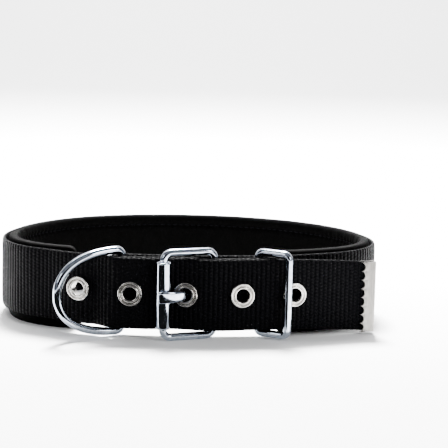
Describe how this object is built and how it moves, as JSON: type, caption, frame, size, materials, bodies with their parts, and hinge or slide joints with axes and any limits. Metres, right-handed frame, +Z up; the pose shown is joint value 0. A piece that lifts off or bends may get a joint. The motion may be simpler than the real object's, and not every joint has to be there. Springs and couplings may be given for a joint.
{
  "type": "dog collar",
  "caption": "Padded dog collar, buckled into a loop and standing on its lower edge, with ribbed webbing, roller buckle, keeper loop, D-ring, eyelets and a metal end clamp.",
  "frame": {"origin": "middle of the collar's box, on the floor that it stands on", "axes": "+Z up along the neck's axis, +X to the right as seen from the buckle, -Y out of the front where the buckle is"},
  "size_m": [0.1666, 0.127, 0.0386],
  "materials": {
    "webbing": "ribbed weave, matt",
    "pad_fabric": "fine weave over foam, matt",
    "chrome": "chrome plated",
    "nickel": "nickel plated",
    "satin_nickel": "satin nickel"
  },
  "bodies": {
    "collar": {"neck_pad": "pad_fabric", "webbing_strap": "webbing", "buckle_frame": "chrome", "buckle_roller": "chrome", "buckle_prong": "chrome", "eyelet_1": "nickel", "eyelet_2": "nickel", "eyelet_3": "nickel", "eyelet_4": "nickel", "eyelet_5": "nickel", "end_clamp": "satin_nickel"},
    "leash_ring": {"d_ring": "chrome"},
    "keeper": {"keeper_loop": "chrome"}
  },
  "joints": [
    {"name": "d_ring_swing", "type": "hinge", "parent": "collar", "child": "leash_ring", "pos_m": [-0.02798, -0.04772, 0.0193], "axis": [0, 0, 1], "range_deg": [0, 78]},
    {"name": "keeper_swing", "type": "hinge", "parent": "collar", "child": "keeper", "pos_m": [0.029, -0.04692, 0.0193], "axis": [0, 0, -1], "range_deg": [0, 66]}
  ]
}
